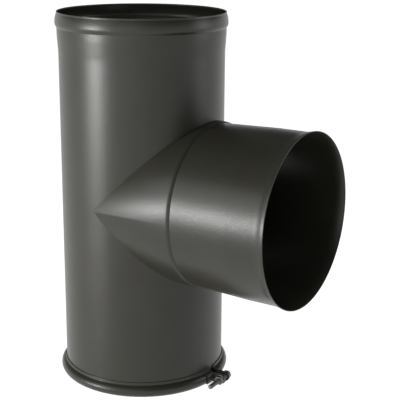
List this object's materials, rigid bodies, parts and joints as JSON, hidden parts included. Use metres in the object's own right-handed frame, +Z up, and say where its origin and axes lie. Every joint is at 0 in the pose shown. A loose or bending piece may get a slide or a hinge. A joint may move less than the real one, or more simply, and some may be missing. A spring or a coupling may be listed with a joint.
{
  "type": "stove pipe tee",
  "caption": "Straight stove pipe with a side branch, a beaded socket on top and a screw-tightened locking band round the lower end.",
  "frame": {"origin": "centre of the pipe's lower end, on the pipe's axis", "axes": "+Z up along the pipe towards the socket, +X along the branch towards its mouth"},
  "size_m": [0.335, 0.2134, 0.454],
  "materials": {
    "pipe_paint": "satin heat-proof paint, warm dark grey",
    "lug_steel": "satin paint over pressed steel",
    "zinc_steel": "dull zinc plate"
  },
  "bodies": {
    "tee": {"main_pipe": "pipe_paint", "branch_collar": "pipe_paint", "branch_pipe": "pipe_paint"},
    "band": {"locking_band": "pipe_paint", "nut_side_lug": "lug_steel", "head_side_lug": "lug_steel"},
    "bolt": {"clamp_bolt": "zinc_steel", "head_washer": "zinc_steel"},
    "travelling_washer": {"nut_washer": "zinc_steel"},
    "nut": {"clamp_nut": "zinc_steel"}
  },
  "joints": [
    {"name": "band_turn", "type": "hinge", "parent": "tee", "child": "band", "pos_m": [0, 0, 0], "axis": [0, 0, 1], "continuous": true},
    {"name": "bolt_turn", "type": "hinge", "parent": "band", "child": "bolt", "pos_m": [0.11793, 0.00412, 0.007], "axis": [-0.0349, 0.9994, 0], "continuous": true},
    {"name": "nut_travel", "type": "slide", "parent": "bolt", "child": "travelling_washer", "axis": [0.0349, -0.9994, 0], "range_m": [0, 0.02]},
    {"name": "nut_turn", "type": "hinge", "parent": "travelling_washer", "child": "nut", "pos_m": [0.11793, 0.00412, 0.007], "axis": [0.0349, -0.9994, 0], "range_deg": [0, 7200]}
  ],
  "couplings": [
    {"joint": "nut_turn", "follows": "nut_travel", "rad_per_m": 6283.2}
  ]
}
